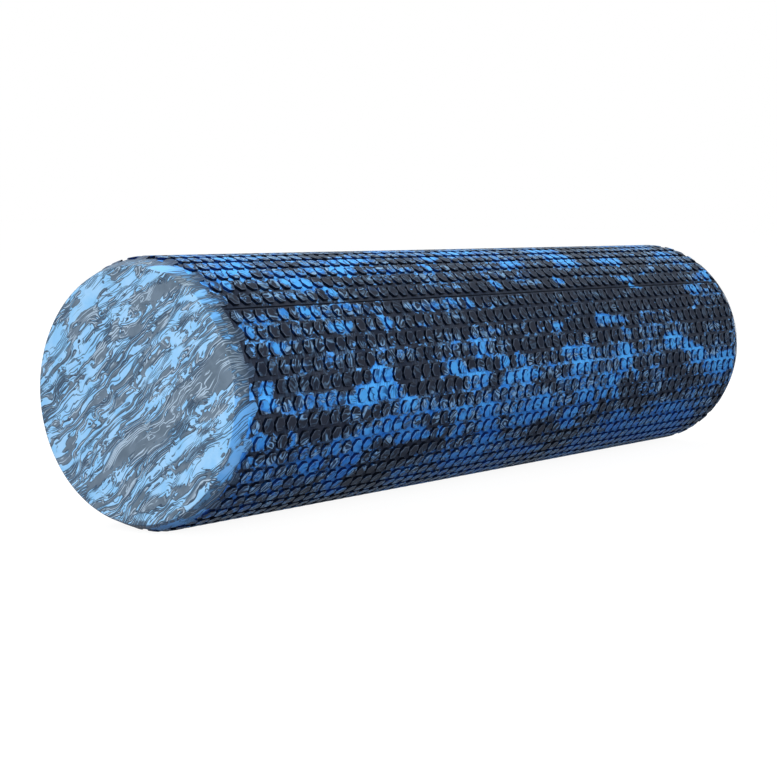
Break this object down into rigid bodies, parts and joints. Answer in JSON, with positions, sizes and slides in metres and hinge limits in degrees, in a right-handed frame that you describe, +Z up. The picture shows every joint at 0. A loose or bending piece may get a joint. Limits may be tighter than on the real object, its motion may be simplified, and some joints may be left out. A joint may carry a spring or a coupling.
{
  "type": "foam roller",
  "caption": "Solid marbled foam massage roller with a textured skin of staggered hexagonal pads, bevelled ends and flat end faces.",
  "frame": {"origin": "on the floor under the middle of the roller, which lies on its side", "axes": "+X along the roller's axis, +Z up; the end at -X is the one nearest in the picture, and -Y is the side that the picture shows"},
  "size_m": [0.6, 0.1502, 0.1502],
  "materials": {
    "cut_foam": "matte cut closed-cell foam, light blue and grey marbling with fine flow lines",
    "moulded_skin": "satin moulded foam skin, royal blue and near-black marbling"
  },
  "bodies": {
    "root": {"foam_core": "cut_foam", "upper_skin": "moulded_skin", "lower_skin": "moulded_skin"}
  },
  "joints": []
}
